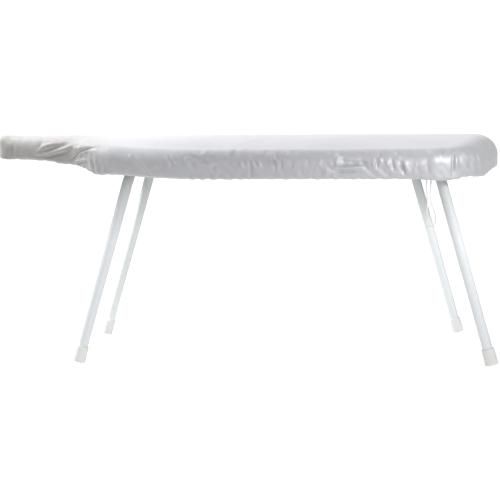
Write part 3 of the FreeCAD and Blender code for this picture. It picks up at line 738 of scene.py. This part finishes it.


# Folds on the front, as the camera sees them: height, width, then the points (x, z) of each line,
# on the upright plane of the front edge. All in millimetres.
FRONT_PLANE = -0.184
FRONT_FOLDS = [
    # nose: crease at its end, then long folds from its top edge towards the armpit
    (-1.5, 1.7, [(-334, 331), (-336, 316), (-335, 297)]),
    (2.4, 2.3, [(-302, 316), (-296, 320), (-290, 325), (-282, 327.5), (-272, 329)]),
    (-3.1, 2.6, [(-292, 319), (-282, 321.5), (-270, 325.5), (-257, 328)]),
    (2.6, 2.1, [
        (-300, 314.5), (-290, 313.8), (-283, 315),
        (-271, 318), (-260, 322), (-250, 326), (-240, 329.5),
    ]),
    (-2.6, 2.1, [(-299, 312), (-283, 310.5), (-271, 313.8), (-258, 317.6), (-247, 321.5)]),
    (1.6, 1.8, [(-267, 316.3), (-258, 319), (-248, 322), (-238, 324)]),
    (-3.8, 1.9, [
        (-252, 304), (-248, 309.7), (-244, 313.3),
        (-237, 318), (-228, 321.8), (-221, 323.4), (-215, 323.2),
    ]),
    (2.4, 1.9, [(-245, 307.3), (-240, 313), (-232, 317.6), (-225, 320)]),
    (-1.9, 1.6, [(-249, 303), (-243, 309), (-236, 314.4)]),
    (1.6, 1.8, [(-250, 301), (-238, 304.5), (-224, 306.5)]),
    (-1.8, 1.6, [(-250, 299.5), (-238, 301.5), (-226, 302)]),
    (-1.4, 1.6, [(-247, 297), (-237, 297), (-228, 295.5)]),
    # pleats beside the armpit
    (1.5, 1.4, [(-223, 306), (-222, 298), (-220, 290)]),
    (-1.8, 1.3, [(-220, 307), (-218.5, 298), (-217, 289)]),
    (1.7, 1.4, [(-216, 307), (-214.5, 298), (-213, 289)]),
    (-1.8, 1.3, [(-212, 306), (-210.5, 298), (-209.5, 289)]),
    (1.4, 1.4, [(-208, 305), (-206.5, 297), (-206, 289)]),
    (-1.2, 1.3, [(-204, 303), (-203, 296), (-202, 288)]),
    # slanting crease left of the middle
    (1.6, 1.9, [(-167, 314.5), (-163, 308.7), (-159.5, 303.5)]),
    (-2.0, 2.1, [(-160, 308.7), (-153, 300), (-145.5, 293), (-137, 284.3), (-132.5, 281)]),
    (1.2, 2.0, [(-157, 309.5), (-149, 301.5), (-142, 295)]),
    # small puckers and the fold beside them
    (1.4, 1.9, [(-111.5, 309.5), (-110, 302), (-108.5, 294)]),
    (1.4, 1.9, [(-105.7, 311.6), (-103, 305), (-101, 299.5)]),
    (-1.2, 1.6, [(-108, 309), (-106, 303), (-105, 297)]),
    (1.3, 1.8, [(-84, 308), (-83, 303), (-82.5, 298)]),
    (-2.2, 2.6, [(-83, 312.5), (-73, 309.5), (-63, 306), (-53, 298.7), (-44, 295)]),
    (0.8, 3.2, [(-64.5, 308.4), (-58.5, 313), (-53, 319), (-51, 322)]),
    (1.2, 3.0, [(-60, 303), (-52, 300), (-40, 302)]),
    (1.3, 1.9, [(-6.5, 303.6), (-4, 297), (-2, 292.3)]),
    (1.4, 1.8, [(1.5, 305.8), (4, 301), (6, 298)]),
    (1.7, 1.8, [(10, 308), (12.5, 300), (15.3, 293)]),
    (-1.3, 1.6, [(6.5, 306), (9, 298), (11, 292)]),
    (1.3, 1.9, [(18.8, 304.5), (21.5, 299), (24, 295)]),
    (2.4, 2.0, [(35, 306.6), (38, 300), (41.5, 295)]),
    (-2.4, 1.8, [(39, 308), (41.5, 301), (44, 295.8)]),
    (2.2, 1.9, [(45.5, 310), (47.5, 303), (49.8, 297)]),
    (-1.6, 1.8, [(52, 309.5), (52.5, 302), (52.8, 293)]),
    (-2.2, 1.5, [(9, 298), (9.2, 290), (9.5, 278)]),
    (0.6, 3.4, [(-18, 321), (-11, 326), (-1, 329), (25, 336)]),
    (-0.7, 2.8, [(-12.5, 319.5), (-2, 325.3), (15, 330), (31, 333.2)]),
    (0.6, 2.8, [(-6.5, 319.5), (3.5, 324.5), (19.5, 327.4)]),
    (0.5, 4.5, [(-40, 322), (-36, 324), (-33, 325)]),
    (0.5, 4.5, [(-24, 322), (-20, 324), (-15, 325)]),
    # pocket right of the middle, with its lip
    (-2.8, 3.9, [(138, 303.7), (145.5, 301.6), (161, 300.8), (174, 300.8)]),
    (1.8, 2.8, [(132.5, 305), (134.7, 310), (140, 311.6)]),
    (3.0, 2.3, [(132.5, 302.3), (132.5, 295.8), (142.7, 293), (155.7, 293.4), (168.7, 293.7)]),
    (-2.0, 1.9, [(124, 293), (132.5, 288.6), (145.5, 287.5), (167, 288.6)]),
    (1.1, 2.0, [(134, 285.8), (150, 285.3), (167, 285.8)]),
    # gathers towards the tail
    (1.8, 2.2, [(184.5, 309.5), (186, 300), (187.5, 291)]),
    (-1.8, 1.9, [(189.7, 305), (190.5, 300), (191, 293.6)]),
    (1.6, 2.2, [(193.3, 314.5), (195, 308), (197, 302.3)]),
    (1.5, 2.0, [(204, 303.7), (206, 299), (208.5, 294.4)]),
    (-1.8, 2.0, [(211.4, 307.3), (213, 299), (215, 290.8)]),
    (1.5, 2.3, [(218, 315), (221, 311), (223.7, 308)]),
    (-3.2, 2.1, [(225, 301), (227.5, 293), (230.3, 285)]),
    (2.4, 2.2, [(229.5, 302.3), (232, 295), (235.3, 288)]),
    (-1.2, 2.2, [(239.6, 316.6), (242, 311), (244, 308)]),
    (2.2, 15.0, [(262, 311), (275, 311), (287, 310)]),
    # sewn seam and the roll before the tail
    (-3.2, 1.8, [(299.3, 317), (300, 300), (300.4, 282)]),
    (1.7, 2.9, [(304, 315), (304.7, 300), (304.8, 288)]),
    (1.3, 2.6, [(295.7, 317.3), (296, 311), (296.4, 305)]),
    (1.1, 3.6, [(335, 316.6), (338, 305), (341, 293.6)]),
]


def random_folds(count, length):
    """Small slanting puckers for the sides that the listed folds don't reach."""
    folds = []
    for _ in range(count):
        start = CHANCE.uniform(0, length / MM)
        low = CHANCE.uniform(3, 14)
        tall = CHANCE.uniform(6, 17)
        lean = CHANCE.normal(0, 0.22) * tall
        size = CHANCE.uniform(0.7, 2.0) * CHANCE.choice([-1, 1])
        middle = (start + lean * 0.4 + CHANCE.normal(0, 0.5), low + tall * 0.5)
        folds.append((size, CHANCE.uniform(1.5, 2.6), [(start, low), middle, (start + lean, low + tall)]))
    return folds


def soft_dents():
    """Shallow dents along the rounded front edge, where the cloth lies loose on the felt."""
    dents = []
    for _ in range(SOFT_DENTS):
        x, z = CHANCE.uniform(-75, 110), CHANCE.uniform(308, 327)
        run, rise = CHANCE.uniform(4, 12), CHANCE.uniform(1, 5)
        size = CHANCE.uniform(0.2, 0.45) * CHANCE.choice([-1, 1])
        dents.append((size, CHANCE.uniform(2.2, 4.0), [(x, z), (x + run, z + rise)]))
    return dents


def edge_position(places):
    """Arc length round the edge, inset from it and drop below the arch, for each place."""
    spots, normals, at = outline_samples(FINE_STEP)
    tree = kdtree.KDTree(len(spots))
    for index, (x, y) in enumerate(spots):
        tree.insert((x, y, 0), index)
    tree.balance()
    near = np.array([tree.find((x, y, 0))[1] for x, y, _ in places])
    offset = places[:, :2] - spots[near]
    inset = -np.einsum("ij,ij->i", offset, normals[near])
    drop = arch_z(places[:, 1], 0) - places[:, 2]
    return at[near], inset, drop


def shape_folds(mesh, length):
    """Press the listed folds into the front and small chance ones into the other sides."""
    places, normals = coordinates(mesh), coordinates(mesh, "normal")
    eye = np.array(CAMERA_AT)
    sight = places - eye
    depth = (FRONT_PLANE - eye[1]) / sight[:, 1]
    seen = eye + sight * depth[:, None]
    faces_eye = -np.einsum("ij,ij->i", sight, normals) / np.linalg.norm(sight, axis=1)
    front = smooth(faces_eye, -0.05, 0.12) * smooth(-places[:, 1], -0.03, 0.02)
    raised = press_folds(seen[:, [0, 2]], FRONT_FOLDS + soft_dents()) * front
    at, inset, drop = edge_position(places)
    height = COVER_DROP - drop + np.clip(inset, 0, None)
    spots = np.column_stack([at, height])
    other = smooth(normals[:, 2], -0.75, -0.45) * smooth(0.040 - inset, 0, 0.01)
    raised += press_folds(spots, random_folds(RANDOM_FOLDS, length)) * other * (1 - 0.75 * front)
    move_to(mesh, places + normals * raised[:, None])


def make_cover(pad):
    cover, count, rows = shell_mesh("cover_cloth", CLOTH_STEP, CLOTH_NET)
    base, base_normals = coordinates(cover.data), coordinates(cover.data, "normal")
    length = float(outline_samples(FINE_STEP)[2][-1])
    row = add_gathers(cover.data, count, rows, length)
    pad.modifiers.new("solid", "COLLISION")
    pad.collision.thickness_outer = 0.001
    pad.collision.cloth_friction = 20
    let_cloth_settle(cover, row, rows, base, base_normals)
    pad.modifiers.clear()
    settle(cover, 1)
    shape_folds(cover.data, length)
    shade_smooth(cover)
    dress(cover, "silver_cotton")
    skin = cover.modifiers.new("cloth", "SOLIDIFY")
    skin.thickness = CLOTH_THICKNESS
    skin.offset = -1
    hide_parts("cover")
    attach(cover, "board")
    return cover


def make_pad():
    """Felt under the cover, well inside it at the edge so that its folds have room to sink."""
    pad, _, _ = shell_mesh(
        "felt_pad_layer", PAD_STEP, PAD_NET, thin=PAD_GAP, first_row=ROWS_SIDE + 3
    )
    places = coordinates(pad.data)
    _, inset, _ = edge_position(places)
    normals = coordinates(pad.data, "normal")
    at_edge = smooth(0.034 - inset, 0, 0.012)
    at_ends = np.maximum(smooth(-places[:, 0], 0.185, 0.215), smooth(places[:, 0], 0.27, 0.31))
    sunk = 0.0042 * np.maximum(at_edge, at_ends)
    move_to(pad.data, places - normals * sunk[:, None])
    shade_smooth(pad)
    dress(pad, "felt")
    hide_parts("felt_pad")
    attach(pad, "board")
    return pad


def tuck_under(pad, cover):
    """Keep the felt just inside the folded cloth."""
    cloth = cover.data
    finder = bvhtree.BVHTree.FromPolygons(
        [vertex.co for vertex in cloth.vertices],
        [tuple(face.vertices) for face in cloth.polygons],
    )
    for vertex in pad.data.vertices:
        place, normal, _, _ = finder.find_nearest(vertex.co)
        if (vertex.co - place).dot(normal) > -PAD_GAP:
            vertex.co = place - normal * PAD_GAP
    pad.data.update()
    skin = pad.modifiers.new("felt", "SOLIDIFY")
    skin.thickness = PAD_THICKNESS
    skin.offset = -1


pad = make_pad()
cover = make_cover(pad)
tuck_under(pad, cover)

dress(loop_cord, "white_cord")
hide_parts("drawstring_loop")
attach(loop_cord, "board")
round(length_of(path_points(loop_cord)), 4)

# ---- stage ------------------------------------------------------------------------------------


# Strength of the world's light from each side, and its glow: direction, where it starts and is
# full as a cosine from that direction, and strength.
WORLD_LEFT, WORLD_RIGHT, WORLD_TOP, WORLD_FLOOR, WORLD_BEHIND = 0.36, 0.23, 0.15, 0.92, 1.1
FRONT_GLOW = ((0.46, -0.82, 0.34), 0.76, 0.98, 1.15)
FLOOR_REACH = 30


def area_light(name, place, target, size, power, glossy):
    light = bpy.data.lights.new(name, "AREA")
    light.shape = "RECTANGLE"
    light.size, light.size_y = size
    light.energy = power
    thing = bpy.data.objects.new(name, light)
    thing.visible_glossy = glossy
    thing.location = place
    thing.rotation_euler = (Vector(target) - Vector(place)).to_track_quat("-Z", "Y").to_euler()
    SCENE.collection.objects.link(thing)


def spot_light(name, place, target, degrees, radius, power):
    light = bpy.data.lights.new(name, "SPOT")
    light.spot_size = math.radians(degrees)
    light.spot_blend = 1
    light.shadow_soft_size = radius
    light.energy = power
    thing = bpy.data.objects.new(name, light)
    thing.location = place
    thing.rotation_euler = (Vector(target) - Vector(place)).to_track_quat("-Z", "Y").to_euler()
    SCENE.collection.objects.link(thing)


def soft_world():
    """Plain studio light: white behind, dim to the front left, a broad soft glow to the front right."""
    world = bpy.data.worlds.new("studio")
    SCENE.world = world
    world.use_nodes = True
    nodes, links = world.node_tree.nodes, world.node_tree.links
    place = nodes.new("ShaderNodeTexCoord").outputs["Generated"]
    split = nodes.new("ShaderNodeSeparateXYZ")
    links.new(place, split.inputs[0])

    def ranged(output, low, high, out_low, out_high):
        node = nodes.new("ShaderNodeMapRange")
        node.interpolation_type = "SMOOTHSTEP"
        for name, value in (
            ("From Min", low), ("From Max", high), ("To Min", out_low), ("To Max", out_high)
        ):
            node.inputs[name].default_value = value
        links.new(output, node.inputs["Value"])
        return node.outputs["Result"]

    def joined(operation, first, second):
        node = nodes.new("ShaderNodeMath")
        node.operation = operation
        links.new(first, node.inputs[0])
        links.new(second, node.inputs[1])
        return node.outputs[0]

    def glow(direction, low, high, strength):
        node = nodes.new("ShaderNodeVectorMath")
        node.operation = "DOT_PRODUCT"
        links.new(place, node.inputs[0])
        node.inputs[1].default_value = Vector(direction).normalized()
        return ranged(node.outputs["Value"], low, high, 0, strength)

    sides = joined(
        "ADD",
        ranged(split.outputs["X"], -1, 1, WORLD_LEFT, WORLD_RIGHT),
        ranged(split.outputs["Z"], -0.2, 1, 0, WORLD_TOP),
    )
    low_and_front = joined(
        "ADD", ranged(split.outputs["Z"], 0.3, -1, 0, WORLD_FLOOR), glow(*FRONT_GLOW)
    )
    behind = ranged(split.outputs["Y"], 0.42, 0.93, 0, WORLD_BEHIND)
    level = joined("MAXIMUM", joined("ADD", sides, low_and_front), behind)
    back = nodes["Background"]
    links.new(level, back.inputs["Strength"])
    back.inputs["Color"].default_value = (1, 1, 1, 1)


def make_stage():
    SCENE.view_settings.view_transform = "Standard"
    soft_world()
    mesh = bpy.data.meshes.new("floor")
    corners = [(x * FLOOR_REACH, y * FLOOR_REACH, 0) for x, y in ((-1, -1), (1, -1), (1, 1), (-1, 1))]
    mesh.from_pydata(corners, [], [(0, 1, 2, 3)])
    floor = bpy.data.objects.new("floor", mesh)
    floor.location.z = CAD_BOX[0][2]
    SCENE.collection.objects.link(floor)
    paint = Paint("floor", (0.9, 0.9, 0.9), 0.9)
    paint.set(**{"Emission Color": (1, 1, 1, 1), "Emission Strength": 0.72, "Specular IOR Level": 0.1})
    mesh.materials.append(paint.material)
    floor.visible_diffuse = floor.visible_glossy = False
    for name, power, glossy in (("top_left_soft", 26, False), ("top_left_sheen", 8, True)):
        area_light(name, (-0.80, 0.30, 1.02), (-0.25, 0, 0.33), (0.8, 0.8), power, glossy)
    spot_light("front_right", (0.92, -1.02, 0.88), (0.345, -0.17, 0.355), 23, 0.15, 35)


make_stage()
